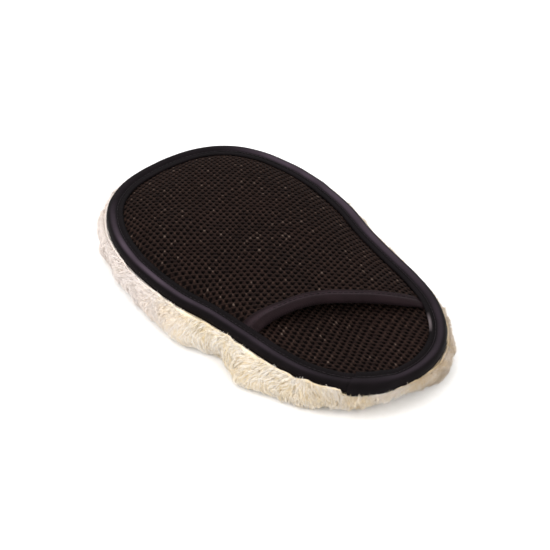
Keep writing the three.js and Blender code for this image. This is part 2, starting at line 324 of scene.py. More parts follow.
def spacer_mesh_finish(name):
    """Warp-knitted polyester spacer mesh, dyed dark brown and matt, with painted shade near-black in the
    holes, painted grey-brown light on the nodes between them and painted glints on a few of the nodes."""
    finish = new_finish(name, Roughness=0.8, Specular_IOR_Level=0.04, IOR=1.54, Sheen_Weight=0.01,
                        Sheen_Roughness=0.5, Sheen_Tint=linear("8a7466"))
    place = add(finish, "UVMap", uv_map="cloth")
    where = add(finish, "TexCoord", out="Object")
    # Distance from the middle of the hole along both ways of the knit: 0 in the hole, 1 at a node.
    ways = add(finish, "SeparateXYZ", {0: place}).node.outputs[:2]
    off = [away_from(finish, add(finish, "Math", {0: way}, operation="FRACT"), 0.5) for way in ways]
    reach = add(finish, "Math", {0: off[0], 1: off[1]}, operation="ADD")
    node = add(finish, "MapRange", {"Value": reach, "From Min": 0.58, "From Max": 0.92})
    yarn = add(finish, "MapRange", {"Value": reach, "From Min": 0.3, "From Max": 0.5})
    # Filaments of the yarn, 0.3 mm apart, drawn about 1 mm apart so that they show.
    fine = add(finish, "TexWave", {"Vector": where, "Scale": 420.0, "Distortion": 3.0, "Detail": 1.0}, "Fac",
               wave_type="BANDS", bands_direction="DIAGONAL")
    patch = add(finish, "TexNoise", {"Vector": where, "Scale": 38.0, "Detail": 2.0}, "Fac")
    each = add(finish, "TexNoise", {"Vector": where, "Scale": 260.0, "Detail": 1.0}, "Fac")
    tone = laid_together(finish, fine, 0.3, patch)
    ground = add(finish, "ValToRGB", {"Fac": tone},
                 stops=[(0.3, "0a0505"), (0.55, "120908"), (0.8, "1b100e")])
    # Painted shade: the holes are darkened near-black.
    deep = add(finish, "Mix", {0: yarn, 6: linear("070404"), 7: ground}, 2, data_type="RGBA")
    # Painted light: the nodes between the holes are lit grey-brown, unevenly.
    uneven = add(finish, "MapRange", {"Value": each, "From Min": 0.3, "From Max": 0.66})
    lit = add(finish, "Mix", {0: product(finish, node, uneven), 6: deep, 7: linear("33251f")}, 2,
              data_type="RGBA")
    # The courses between the rows of holes catch a little more light.
    both = add(finish, "Math", {0: ways[0], 1: ways[1]}, operation="ADD")
    off_course = away_from(finish, add(finish, "Math", {0: both}, operation="FRACT"), 0.5)
    bundle = add(finish, "MapRange", {"Value": off_course, "From Min": 0.2, "From Max": 0.03, "To Max": 0.3})
    raised = add(finish, "Mix", {0: bundle, 6: lit, 7: linear("3b2d27")}, 2, data_type="RGBA")
    # Painted glints: a few of the nodes are lit pale grey-brown.
    glint_spots = add(finish, "MapRange", {"Value": each, "From Min": 0.66, "From Max": 0.71})
    colour = add(finish, "Mix", {0: product(finish, node, glint_spots, 0.5), 6: raised, 7: linear("6b5e55")}, 2,
                 data_type="RGBA")
    return surface(finish, tone, 0.5, 0.00025, Base_Color=colour)


FOLD_HIGHLIGHT = (0.0325, -0.0925, 0.0225)  # place of the painted highlight on the tape's inner fold, in metres


def binding_tape_finish(name, dark, mid, pale, ridge_tint, ridge):
    """Woven polyester twill tape, folded and pressed: fine slanting ribs, near-black, with a painted
    plum-coloured satin highlight along the ridge. ridge is the ridge's place across the tape and how far
    to each side the painted highlight goes, in millimetres; ridge_tint is the painted highlight's colour."""
    finish = new_finish(name, Specular_IOR_Level=0.02, IOR=1.54, Sheen_Weight=0.01)
    place = add(finish, "UVMap", uv_map="cloth")
    where = add(finish, "TexCoord", out="Object")
    # Twill ribs, drawn 0.8 mm apart; the real ones are nearer 0.35 mm and too fine to show.
    ribs = add(finish, "TexWave", {"Vector": place, "Scale": 0.57, "Distortion": 0.6, "Detail": 1.0}, "Fac",
               wave_type="BANDS", bands_direction="DIAGONAL")
    uneven = add(finish, "TexNoise", {"Vector": where, "Scale": 70.0, "Detail": 4.0, "Roughness": 0.6},
                 "Fac")
    tone = laid_together(finish, ribs, 0.3, uneven)
    colour = add(finish, "ValToRGB", {"Fac": tone}, stops=[(0.2, dark), (0.5, mid), (0.8, pale)])
    # Painted highlight: a plum-coloured satin light along the ridge, patchy along the run.
    middle, reach = ridge
    across = add(finish, "SeparateXYZ", {0: place}, 1)
    ridge_band = add(finish, "MapRange", {"Value": away_from(finish, across, middle),
                                      "From Min": reach, "From Max": reach * 0.1},
                 interpolation_type="SMOOTHERSTEP")
    stretch = add(finish, "TexNoise", {"Vector": where, "Scale": 22.0, "Detail": 2.0}, "Fac")
    patchy = add(finish, "MapRange", {"Value": stretch, "From Min": 0.3, "From Max": 0.62, "To Min": 0.25})
    # Painted light: the ridge highlight is strongest on the two long sides of the finger half and weakest at
    # the ends.
    lengthwise = add(finish, "SeparateXYZ", {0: where}, 1)
    held = add(finish, "MapRange",
               {"Value": lengthwise, "From Min": -0.07, "From Max": 0.03, "To Min": 0.25})
    round_end = add(finish, "MapRange",
                    {"Value": lengthwise, "From Min": 0.1, "From Max": 0.062, "To Min": 0.06})
    ridge_lit = add(finish, "Mix", {0: product(finish, ridge_band, patchy, held, round_end), 6: colour,
                               7: linear(ridge_tint)}, 2, data_type="RGBA")
    # Painted highlight: a pale spot on the inner fold, by the cuff on the little-finger side.
    apart = add(finish, "VectorMath", {0: where, 1: FOLD_HIGHLIGHT}, "Value", operation="DISTANCE")
    near = add(finish, "MapRange", {"Value": apart, "From Min": 0.0085, "From Max": 0.003})
    fold = add(finish, "MapRange", {"Value": across, "From Min": 2.6, "From Max": 1.4})
    fold_lit = add(finish, "Mix", {0: product(finish, near, fold, uneven), 6: ridge_lit, 7: linear("8b8083")}, 2,
                  data_type="RGBA")
    rough = add(finish, "Math", {0: product(finish, uneven, 0.3), 1: 0.36}, operation="ADD")
    return surface(finish, tone, 0.35, 0.00015, Base_Color=fold_lit, Roughness=rough)


def thread_finish():
    """Twisted polyester sewing thread with a slight gloss on its two plies. Their twist, 0.5 mm to the
    turn, is drawn about four times as long so that it shows."""
    finish = new_finish("sewing_thread_twist", Roughness=0.5, Specular_IOR_Level=0.15, IOR=1.54)
    where = add(finish, "TexCoord", out="Object")
    ply = add(finish, "TexWave", {"Vector": where, "Scale": 320.0, "Distortion": 0.5}, "Fac",
              wave_type="BANDS", bands_direction="DIAGONAL")
    colour = add(finish, "ValToRGB", {"Fac": ply}, stops=[(0.1, "0d0a0c"), (0.9, "231b20")])
    return surface(finish, ply, 0.5, 0.0001, Base_Color=colour)


OVER_THE_MITT = (0.773, -0.635, 0.0)  # from the thumb side of the fingers to the far side of the cuff
NOTCH = (-0.0605, -0.0295, 0.003)  # where the pile parts at the waist, the middle of its painted shade, in metres


def wool_finish(name, root, middle, tip):
    """Scoured and combed wool: cream fibre with straw-coloured patches, soft and without gloss. Painted
    shade greys it towards the little-finger side of the cuff, and painted light pales it towards the thumb
    side of the fingers."""
    finish = new_finish(name, Roughness=0.85, Specular_IOR_Level=0.2, IOR=1.55, Sheen_Weight=0.35,
                        Sheen_Roughness=0.5)
    where = add(finish, "TexCoord", out="Object")
    # Patches about 13 mm across, and locks of 2 to 3 mm; single fibres are too fine to show.
    patch = add(finish, "TexNoise", {"Vector": where, "Scale": 75.0, "Detail": 3.0, "Roughness": 0.55},
                "Fac")
    lock = add(finish, "TexNoise", {"Vector": where, "Scale": 420.0, "Detail": 2.0}, "Fac")
    tone = laid_together(finish, patch, 0.75, lock)
    colour = add(finish, "ValToRGB", {"Fac": tone}, stops=[(0.32, root), (0.46, middle), (0.6, tip)])
    # Painted shade greys the wool towards the far side of the cuff, and painted light pales it towards the
    # thumb side of the fingers.
    slant = add(finish, "VectorMath", {0: where, 1: OVER_THE_MITT}, "Value", operation="DOT_PRODUCT")
    cuff_shade = add(finish, "MapRange", {"Value": slant, "From Min": -0.005, "From Max": 0.095, "To Max": 0.8})
    grey = add(finish, "Mix", {0: cuff_shade, 6: colour, 7: linear("b9aca1")}, 2, data_type="RGBA",
               blend_type="MULTIPLY")
    finger_light = add(finish, "MapRange", {"Value": slant, "From Min": -0.045, "From Max": -0.075, "To Max": 0.75})
    pale = add(finish, "Mix", {0: finger_light, 6: grey, 7: linear("f3e9e6")}, 2, data_type="RGBA")
    # Painted shade: in the notch at the waist, where the tufts part, the crease is darkened brown.
    apart = add(finish, "VectorMath", {0: where, 1: NOTCH}, "Value", operation="DISTANCE")
    notch_shade = add(finish, "MapRange", {"Value": apart, "From Min": 0.006, "From Max": 0.002, "To Max": 0.6})
    notch_shaded = add(finish, "Mix", {0: product(finish, notch_shade, patch), 6: pale, 7: linear("8f6a42")}, 2,
                 data_type="RGBA")
    return surface(finish, Base_Color=notch_shaded)


def knit_backing_finish():
    """Knitted ground of the pile fabric, undyed: loops in rows, drawn 1.8 mm apart."""
    finish = new_finish("pile_ground_knit", Roughness=0.9, IOR=1.54)
    where = add(finish, "TexCoord", out="Object")
    loops = add(finish, "TexWave", {"Vector": where, "Scale": 170.0, "Distortion": 1.5}, "Fac",
                wave_type="BANDS")
    colour = add(finish, "ValToRGB", {"Fac": loops}, stops=[(0.2, "b5a68c"), (0.8, "d9cdb6")])
    return surface(finish, loops, 0.6, 0.0003, Base_Color=colour)


def foam_finish():
    """Open-cell polyurethane foam, off-white and matt: pores about 0.6 mm across."""
    finish = new_finish("foam_cells", Roughness=0.92, IOR=1.5)
    where = add(finish, "TexCoord", out="Object")
    pores = add(finish, "TexVoronoi", {"Vector": where, "Scale": 1600.0}, "Distance")
    colour = add(finish, "ValToRGB", {"Fac": pores}, stops=[(0.1, "a8a294"), (0.6, "d8d4c8")])
    return surface(finish, pores, 0.7, 0.0003, Base_Color=colour)


def studio_floor_finish():
    """Matt white paper sweep with a very faint tooth."""
    finish = new_finish("paper_sweep", Roughness=0.95)
    where = add(finish, "TexCoord", out="Object")
    tooth = add(finish, "TexNoise", {"Vector": where, "Scale": 300.0}, "Fac")
    colour = add(finish, "ValToRGB", {"Fac": tooth}, stops=[(0.3, "f4f4f3"), (0.7, "f8f8f8")])
    return surface(finish, Base_Color=colour)


# ------------------------------------------------------------------ spacer mesh panels
HOLE_CORNERS = 8
HOLE_RIM = 0.31  # radius of a hole's mouth, in steps of the knit
HOLE_BOTTOM = 0.2  # radius of its bottom
HOLE_DEPTH = 0.72  # share of the panel's thickness
HOLE_UNEVEN = 0.09  # millimetres that a node is off its place, and share that a hole is off its width
KNIT_DRIFT = 1.1  # millimetres that the knit runs off its straight ways
PANEL_END = -6.3  # outset at which both panels end, inside the edge tape
MOUTH_SETBACK = 2.6  # distance from the mouth's edge to the cover's cut edge, inside the mouth's tape
NODE_ROUND, BRIDGE_ROUND = 0.34, 0.12  # how far the yarn stands up at a node, and at a bridge
KNIT_SPAN = 60  # holes to each side of the middle that are looked at


def in_palm(xy):
    return outset_of(xy) < PANEL_END


def in_cover(xy):
    return in_palm(xy) & (past_mouth(xy) < -MOUTH_SETBACK)


def mesh_panel(name, knit, keep, height, thick, material, under):
    """A spacer mesh panel: a net of round dimples, closed below by the back knit. keep says which hole
    centres are in the panel, height gives its top and thick its thickness. Returns the piece and its
    flat area."""
    i, j = np.meshgrid(np.arange(-KNIT_SPAN, KNIT_SPAN), np.arange(-KNIT_SPAN, KNIT_SPAN), indexing="ij")
    lattice = np.stack([i, j], -1).reshape(-1, 2)
    cells = lattice[keep(lattice @ knit)]

    def warped(uv):
        """Plan point of a place on the knit, which runs a little uneven."""
        plan = uv @ knit
        drift = np.stack([waves(plan, SEED + 11, 60, 2), waves(plan, SEED + 12, 60, 2)], -1)
        return plan + drift * KNIT_DRIFT

    # Corners of a cell in steps of a half cell: 4 nodes and 4 bridges, shared with its neighbours.
    ring = np.array([(1, 0), (1, 1), (0, 1), (-1, 1), (-1, 0), (-1, -1), (0, -1), (1, -1)])
    shared = (cells[:, None] * 2 + ring[None]).reshape(-1, 2)
    keys, index = np.unique(shared, axis=0, return_inverse=True)
    index = index.reshape(len(cells), HOLE_CORNERS)
    rng = np.random.default_rng(SEED + 13)
    node = (keys % 2).sum(1) == 2
    rim_uv = keys / 2
    rim_plan = warped(rim_uv) + rng.normal(0, HOLE_UNEVEN, (len(keys), 2))
    turn = np.arctan2(ring[:, 1], ring[:, 0])
    circle = np.stack([np.cos(turn), np.sin(turn)], -1)
    wide = 1 + rng.normal(0, HOLE_UNEVEN, (len(cells), 1, 1))

    def ring_at(radius, drop, depth=0.0):
        uv = (cells[:, None] + circle[None] * radius * wide).reshape(-1, 2)
        plan = warped(uv)
        return np.column_stack([plan, height(plan) - drop - depth * thick(plan)]), uv

    crest = np.where(node, NODE_ROUND, BRIDGE_ROUND) * rng.uniform(0.7, 1.25, len(keys))
    over = np.column_stack([rim_plan, height(rim_plan) + crest])
    levels = [ring_at(HOLE_RIM * 1.2, -0.05), ring_at(HOLE_RIM, 0.16),
              ring_at(HOLE_RIM * 0.93, 0, HOLE_DEPTH * 0.6), ring_at(HOLE_BOTTOM, 0, HOLE_DEPTH)]
    below = np.column_stack([rim_plan, height(rim_plan) - thick(rim_plan)])
    points = np.concatenate([over] + [p for p, _ in levels] + [below])
    uvs = np.concatenate([rim_uv] + [u for _, u in levels] + [rim_uv]) + 0.5
    firsts = [len(over) + k * len(cells) * HOLE_CORNERS for k in range(len(levels))]
    own = np.arange(len(cells) * HOLE_CORNERS).reshape(len(cells), HOLE_CORNERS)
    loops = [index] + [own + first for first in firsts]
    faces = []
    for outer, inner in zip(loops, loops[1:]):
        quads = np.stack([outer, np.roll(outer, -1, 1), np.roll(inner, -1, 1), inner], -1)
        faces += [tuple(q) for q in quads.reshape(-1, 4)]
    faces += [tuple(f) for f in loops[-1]]
    first_below = firsts[-1] + len(cells) * HOLE_CORNERS
    under_first = len(faces)
    faces += [tuple(f[::-1]) for f in index + first_below]
    # The cut edge: sides of cells that have no neighbour.
    sides = {}
    for cell in index:
        for k in range(HOLE_CORNERS):
            p, q = int(cell[k]), int(cell[(k + 1) % HOLE_CORNERS])
            if (q, p) in sides:
                del sides[(q, p)]
            else:
                sides[(p, q)] = True
    faces += [(q, p, p + first_below, q + first_below) for p, q in sides]
    slots = np.zeros(len(faces), int)
    slots[under_first:under_first + len(cells)] = 1
    area = len(cells) * abs(np.linalg.det(knit)) * MM * MM
    return make_piece(name, points, faces, [material, under], uvs=uvs, slots=slots), area


# ------------------------------------------------------------------ tapes
def spread(controls, count):
    """A smooth open section through (offset, height) controls, evenly stepped."""
    c = np.asarray(controls, float)
    run = np.concatenate([[0], np.cumsum(np.linalg.norm(np.diff(c, axis=0), axis=1))])
    at = np.linspace(0, run[-1], count)
    slope = np.gradient(c, run, axis=0)
    k = np.clip(np.searchsorted(run, at, side="right") - 1, 0, len(run) - 2)
    h = (run[k + 1] - run[k])[:, None]
    t = ((at - run[k]) / (run[k + 1] - run[k]))[:, None]
    return ((2 * t**3 - 3 * t**2 + 1) * c[k] + (t**3 - 2 * t**2 + t) * h * slope[k]
            + (-2 * t**3 + 3 * t**2) * c[k + 1] + (t**3 - t**2) * h * slope[k + 1])


TAPE_OUTSIDE = [  # from the top's inner fold over the ridge and round the edge to the underside
    (-9.7, 21.95), (-9.5, 22.4), (-8.6, 22.62), (-7.3, 22.55), (-6.5, 22.2), (-5.9, 22.15), (-5.2, 22.55),
    (-4.2, 23.15), (-2.9, 23.4), (-1.6, 23.1), (-0.6, 22.2), (-0.05, 20.9), (0, 19.4), (-0.2, 17.9),
    (-0.9, 16.8), (-2.2, 16.3), (-4.5, 16.15), (-7.0, 16.2), (-9.6, 16.3),
]
TAPE_INSIDE = [
    (-9.5, 16.95), (-6.5, 16.95), (-3.4, 17.1), (-1.6, 17.6), (-0.9, 18.6), (-0.85, 20.4), (-1.4, 21.7),
    (-2.9, 22.3), (-4.6, 22.0), (-6.2, 21.45), (-8.4, 21.85), (-9.4, 21.7),
]
TAPE_POINTS = (34, 16)  # points of the section outside and inside
TAPE_STEP = 0.75  # from one section to the next
TAPE_CENTRE = np.array([-5.0, 19.4])
SEAM_OFFSET, RIDGE_OFFSET = -6.2, -2.9
STITCH = 2.9  # length of a stitch on the edge tape
LAP, LAP_TUCK = 16.0, 14.0  # how far the start lies flat over the end, and how long the end under it is
LAP_RISE, LAP_FALL = 1.15, 9.0  # how far the lapped start stands off, and the run over which it comes down
LAP_DROOP, DROOP_RUN = 0.7, 34.0  # how far the start hangs down, and the run over which it comes up again
LAP_SLANT, SLANT_RUN = 4.2, 9.0  # how far back the cut takes the start's outer side, and over which run


def sway(rng, run, spacing):
    """Random values along a run, a new one every so many millimetres and straight between them."""
    return np.interp(run, np.arange(0, run[-1] + spacing, spacing),
                     rng.normal(0, 1, int(run[-1] / spacing) + 2))


def lap_lift(run):
    """How far the tape stands off where its start lies over its own end."""
    t = np.clip((run - LAP) / LAP_FALL, 0, 1)
    return LAP_RISE * (1 - t * t * (3 - 2 * t))


def lap_droop(run):
    """How far, from 1 to 0, the lapped start hangs below the rest of the tape."""
    return np.clip(1 - run / DROOP_RUN, 0, 1)**1.4


def edge_tape(material):
    run = np.arange(0, PERIMETER + LAP_TUCK, TAPE_STEP)
    plan, normal = on_edge(LAP_JOINT * PERIMETER + run)
    base = np.concatenate([spread(TAPE_OUTSIDE, TAPE_POINTS[0]), spread(TAPE_INSIDE, TAPE_POINTS[1])])
    section = np.repeat(base[None], len(run), 0)
    away = base - TAPE_CENTRE
    away /= np.linalg.norm(away, axis=1, keepdims=True)
    section += away[None] * lap_lift(run)[:, None, None]
    # Puckers: the seam pulls a small hollow at every stitch, and the ridge rises and sinks with the slack.
    upper = base[:, 1] > 20
    near_seam = np.exp(-((base[:, 0] - SEAM_OFFSET) / 1.5)**2) * upper
    near_ridge = np.exp(-((base[:, 0] - RIDGE_OFFSET) / 2.0)**2) * upper
    beat = np.cos(2 * math.pi * run / STITCH)
    rng = np.random.default_rng(SEED + 21)
    slack, slow = sway(rng, run, 6), sway(rng, run, 25)
    section[..., 1] += 0.07 * beat[:, None] * near_seam + 0.10 * slack[:, None] * near_ridge
    section[..., 0] += 0.16 * slow[:, None] * (0.4 + near_ridge) + 0.05 * slack[:, None]
    # The raw start is cut at a slant and hangs lower than the end that it covers.
    droop = lap_droop(run)
    low_half = np.clip((22.6 - base[:, 1]) / 5.5, 0, 1) * np.clip((base[:, 0] + 6) / 5, 0, 1)
    section[..., 1] -= LAP_DROOP * droop[:, None] * low_half
    section[..., 0] += 0.3 * droop[:, None] * low_half
    outer = np.clip((base[:, 0] + 7) / 7, 0, 1)
    slant = np.clip(1 - run / SLANT_RUN, 0, 1)[:, None] * outer * LAP_SLANT
    return tape_along("edge_tape", plan, normal, section, material, run, slant)


HEM_OUTSIDE = [  # offset from the mouth's edge, and height over the cover
    (-7.2, 0.15), (-6.9, 0.62), (-6.2, 0.78), (-5.2, 0.66), (-4.6, 0.5), (-3.6, 0.95), (-2.4, 1.28),
    (-1.2, 1.2), (-0.2, 0.85), (0.55, 0.1), (0.8, -0.9), (0.5, -2.1), (-0.4, -2.75), (-2.0, -2.85),
    (-4.0, -2.85), (-6.6, -2.7),
]
HEM_INSIDE = [
    (-6.5, -2.35), (-3.6, -2.35), (-1.2, -2.3), (-0.5, -2.0), (0.0, -1.2), (0.05, -0.3), (-0.4, 0.25),
    (-1.6, 0.5), (-4.4, 0.1), (-6.6, 0.12),
]
HEM_POINTS = (30, 14)
HEM_SHARES = (0.03, 0.925)  # ends of the mouth's tape along its line, against the edge tape
HEM_WIDER = 0.55  # how much wider the tape lies at its thumb end, where it opens out
HEM_CLEAR = 0.3  # how far the tape stays off the palm, and how much further its upper side does
HEM_SEAM = -4.75  # offset of the seam


def hem_tape(material):
    count = 190
    share = np.linspace(*HEM_SHARES, count)
    plan, normal = mouth_line(share)
    length = np.concatenate([[0], np.cumsum(np.linalg.norm(np.diff(plan, axis=0), axis=1))])
    base = np.concatenate([spread(HEM_OUTSIDE, HEM_POINTS[0]), spread(HEM_INSIDE, HEM_POINTS[1])])
    section = np.repeat(base[None], count, 0)
    open_out = 1 + HEM_WIDER * np.clip(1 - share / 0.24, 0, 1)[:, None]
    section[..., 0] = np.where(base[:, 0] < 0, section[..., 0] * open_out, section[..., 0])
    places = plan[:, None] + normal[:, None] * np.minimum(section[..., :1], 0)
    slack = sway(np.random.default_rng(SEED + 22), length, 7)
    ridge = np.exp(-((base[:, 0] + 2.2) / 1.6)**2) * (base[:, 1] > 0)
    near_end = np.clip(np.minimum(length, length[-1] - length) / 12, 0, 1)[:, None]
    rises = section[..., 1] * (0.45 + 0.55 * near_end) + 0.08 * slack[:, None] * ridge
    clear = HEM_CLEAR * (1 + (base[:, 1] > -1.5))
    section[..., 1] = np.maximum(cover_height(places) + rises, palm_height(places) + clear)
    return tape_along("mouth_tape", plan, normal, section, material, length)


THREAD = 0.17  # radius
EDGE_SEAM_HEIGHTS = (22.25, 16.05)  # of the upper and the under thread
HEM_SEAM_RISES = (0.62, -2.95)  # the same, over the cover
HEM_STITCHES = 33


def stitches(name, places, ways, top, length, material):
    """A row of lockstitches: each a short bowed thread that dips into the tape at both ends."""
    rings, sides = 7, 6
    ups = np.tile([0.0, 0.0, 1.0 if top else -1.0], (len(places), 1))
    t = np.linspace(-0.5, 0.5, rings)
    bow = THREAD * 1.1 * (1 - (2 * t)**2) - THREAD * 1.3 * np.clip(np.abs(2 * t) - 0.75, 0, 1) * 4
    thin = np.where(np.abs(t) > 0.49, 0.55, 1.0)
    across = np.cross(ways, ups)
    turn = np.arange(sides) * 2 * math.pi / sides
    spine = places[:, None] + ways[:, None] * (t * length)[:, None] + ups[:, None] * bow[:, None]
    circle = (across[:, None, None] * np.cos(turn)[None, None, :, None]
              + ups[:, None, None] * np.sin(turn)[None, None, :, None])
    points = spine[:, :, None] + circle * (THREAD * thin)[:, None, None]
    tube = tube_faces(rings, sides)[:, ::-1]
    caps = [tuple(range(sides)), tuple(range((rings - 1) * sides + sides - 1, (rings - 1) * sides - 1, -1))]
    faces = []
    for i in range(len(places)):
        base = i * rings * sides
        faces += [tuple(f + base) for f in tube] + [tuple(c + base for c in cap) for cap in caps]
    return make_piece(name, points.reshape(-1, 3), faces, material)


def edge_stitches(name, material, top):
    count = int(PERIMETER / STITCH)
    run = (np.arange(count) + 0.5) * PERIMETER / count
    plan, normal = on_edge(LAP_JOINT * PERIMETER + run)
    height = EDGE_SEAM_HEIGHTS[0] + lap_lift(run) if top else EDGE_SEAM_HEIGHTS[1] - lap_lift(run)
    places = np.column_stack([plan + normal * SEAM_OFFSET, height])
    ways = np.column_stack([-normal[:, 1], normal[:, 0], np.zeros(count)])
    return stitches(name, places, ways, top, STITCH * 0.86, material)


def hem_stitches(name, material, top):
    share = np.linspace(0.07, 0.895, HEM_STITCHES)
    plan, normal = mouth_line(share)
    at = plan + normal * HEM_SEAM
    height = cover_height(at) + HEM_SEAM_RISES[0 if top else 1]
    ahead, _ = mouth_line(share + 0.01)
    rise = cover_height(ahead + normal * HEM_SEAM) - cover_height(at)
    ways = np.column_stack([ahead - plan, rise])
    ways /= np.linalg.norm(ways, axis=1, keepdims=True)
    return stitches(name, np.column_stack([at, height]), ways, top, 2.5, material)


# ------------------------------------------------------------------ wool
PILE_SIDE = np.array([  # outset, height and share of the fullness, from under the tape down to the floor
    (-3.5, 15.2, 0.0), (-0.6, 16.0, 0.0), (1.6, 16.8, 0.1), (3.6, 15.6, 0.3), (4.9, 12.4, 0.6),
    (5.4, 8.8, 0.9), (5.0, 5.2, 1.0), (3.6, 2.4, 1.0), (1.2, 0.7, 1.0), (-3.0, 0.0, 0.9),
    (-10.0, 0.0, 0.5), (-20.0, 0.0, 0.2), (-32.0, 0.0, 0.0), (-46.0, 0.0, 0.0),
])
SIDE_LEVEL = 9 / 13  # level at which the skin has turned under and lies on the floor
PRESS_AHEAD = 7.0  # how far before its start the lapped tape begins to press the wool down
PRESSED_DOWN, PRESSED_OUT = 2.5, 0.3
BESIDE_TAPE_OUT = 0.9  # how far the wool leans out where it stands beside the tape
CLOSING, CLOSED_BY = 52.0, 0.55  # how far in the skin closes in underneath, and share it is drawn in by
GROUND_BELOW = 1.1  # how far the mass of the wool lies below the tips
SKIN_LENGTH = 68.0  # millimetres of skin from level 0 to level 1
# How much fuller than its usual outset the pile lies, at shares of the outline from the finger end by
# the thumb side, in millimetres: it spills out at the waist, with a notch, and is pressed under at the cuff.
FULLNESS = np.array([
    (0, -2.7), (0.065, -3), (0.085, 0.6), (0.115, -0.6), (0.135, -1.8), (0.2, 0.2), (0.26, 4.8),
    (0.284, 2.4), (0.304, -2.6), (0.318, 4.4), (0.335, 7), (0.375, 0.6), (0.42, -4.8), (0.45, -6.5),
    (0.487, -8.3),
    (0.511, -7), (0.523, -5), (0.534, -2.5), (0.56, -1.2), (0.6, -3), (0.65, -3), (0.68, -0.8), (0.9, -0.8),
    (1, -2.7),
])
# How far up the tape's side the wool stands, at the same shares of the outline: most at the cuff end.
BESIDE_TAPE = np.array([
    (0, 0.3), (0.1, 0.8), (0.3, 1.2), (0.42, 2.6), (0.46, 2.8), (0.49, 1.4), (0.52, 0), (1, 0.3),
])


def pile_skin(run, level):
    """Points of the pile's skin at distances round the edge, level 0 under the tape to 1 underneath."""
    plan, normal = on_edge(run)
    at = np.clip(level, 0, 1) * (len(PILE_SIDE) - 1)
    outset, height, follow = (np.interp(at, np.arange(len(PILE_SIDE)), PILE_SIDE[:, k]) for k in range(3))
    share = np.mod(run, PERIMETER) / PERIMETER
    full, up = (np.interp(share, table[:, 0], table[:, 1]) for table in (FULLNESS, BESIDE_TAPE))
    outset = outset + follow * (full + waves(plan, SEED + 31, 26, 3) * 0.9)
    # The tape's raw start hangs over the wool and presses it down.
    past_joint = np.mod(run - LAP_JOINT * PERIMETER + PRESS_AHEAD, PERIMETER) - PRESS_AHEAD
    pressed = lap_droop(past_joint) * np.clip((height - 9) / 6, 0, 1)
    height = height + up * np.interp(at, (0.8, 2, 3.6), (0, 1, 0)) - PRESSED_DOWN * pressed
    outset = outset + BESIDE_TAPE_OUT * np.interp(at, (0.3, 1, 2), (0, 1, 0)) + PRESSED_OUT * pressed
    # Underneath, the skin closes in towards the middle of the mitt.
    deep = np.clip(-outset / CLOSING, 0, 1)[..., None]
    inward = np.minimum(outset, 0)[..., None] * (1 - deep)
    point = (plan + normal * (inward + np.maximum(outset, 0)[..., None])) * (1 - deep * CLOSED_BY)
    return np.concatenate([point, height[..., None]], -1)


def skin_face(run, level):
    """Unit vectors straight out of the pile's skin."""
    _, normal = on_edge(run)
    side = np.column_stack([-normal[:, 1], normal[:, 0], np.zeros(len(run))])
    down = pile_skin(run, level + 0.03) - pile_skin(run, level - 0.03)
    down /= np.linalg.norm(down, axis=1, keepdims=True)
    face = np.cross(side, down)
    outward = np.column_stack([normal * 0.8, np.full(len(run), -0.3)])
    face *= np.where((face * outward).sum(1) < 0, -1.0, 1.0)[:, None]
    return face / np.linalg.norm(face, axis=1, keepdims=True)


def lumps(run, level):
    """Tuft-sized swelling of the wool, in millimetres."""
    at = np.column_stack([run, level * SKIN_LENGTH])
    swell = waves(at, SEED + 32, 15, 2) * 0.65 + waves(at, SEED + 34, 7, 2) * 0.25
    return swell * np.clip((level - 0.06) / 0.1, 0, 1)


def pile_body(material):
    """The mass of wool below the tips: a closed lumpy body under everything."""
    steps = 620
    levels = np.concatenate([np.linspace(0, SIDE_LEVEL, 34), np.linspace(SIDE_LEVEL, 0.97, 14)[1:]])
    run = np.arange(steps) * PERIMETER / steps
    rings = [np.column_stack([contour(-9.0, steps), np.full(steps, 15.0)])]
    for level in levels:
        at = np.full(steps, level)
        skin = pile_skin(run, at) + skin_face(run, at) * (lumps(run, at) - GROUND_BELOW)[:, None]
        skin[:, 2] = np.maximum(skin[:, 2], 0.45 + 0.35 * waves(skin[:, :2], SEED + 35, 9, 2))
        rings.append(skin)
    points = np.concatenate(rings + [np.array([[0, 0, 15.0], [0, 0, 0.9]])])
    faces = [tuple(q) for q in tube_faces(len(rings), steps)]
    top, low = len(rings) * steps, len(rings) * steps + 1
    last = (len(rings) - 1) * steps
    faces += [(top, (i + 1) % steps, i) for i in range(steps)]
    faces += [(low, last + i, last + (i + 1) % steps) for i in range(steps)]
    return make_piece("pile_body", points, faces, material)


def tuft_places(start, end, low, high, pitch, rng):
    """Staggered tuft centres on the skin: distance along the edge, and level."""
    rows = max(1, round((high - low) * SKIN_LENGTH / pitch))
    found = []
    for row in range(rows):
        level = low + (row + 0.5) * (high - low) / rows
        shrink = 1.0 if level < SIDE_LEVEL else max(0.2, 1 - (level - SIDE_LEVEL) / (1 - SIDE_LEVEL) * 0.8)
        count = max(3, round((end - start) * shrink / pitch))
        place = np.arange(count) + 0.5 * (row % 2) + rng.uniform(-0.3, 0.3, count)
        run = start + place * (end - start) / count
        found.append(np.column_stack([run, level + rng.uniform(-0.35, 0.35, count) * (high - low) / rows]))
    return np.concatenate(found)


SPINE = np.array([0.0, 0.4, 0.75, 1.0])  # places along a wisp
STRANDS = 8  # in a tuft; its fibres hang together in strands half a millimetre wide
RUFFLE_MOST = 1.9  # how far tips can be pushed up against the tape's edge
RUFFLE_BAND = (0.11, 0.16, 0.2, 0.3)  # levels between which they are
RUFFLE_STOP = 9.0  # how far before the lap that ends
LOOSE = 0.16  # share of the wisps whose tip stands free
TONE_SHARES = (0.42, 0.4, 0.18)
PILE_WISPS, UNDER_WISPS = 11500, 9500  # in each piece of the side, and of the underside


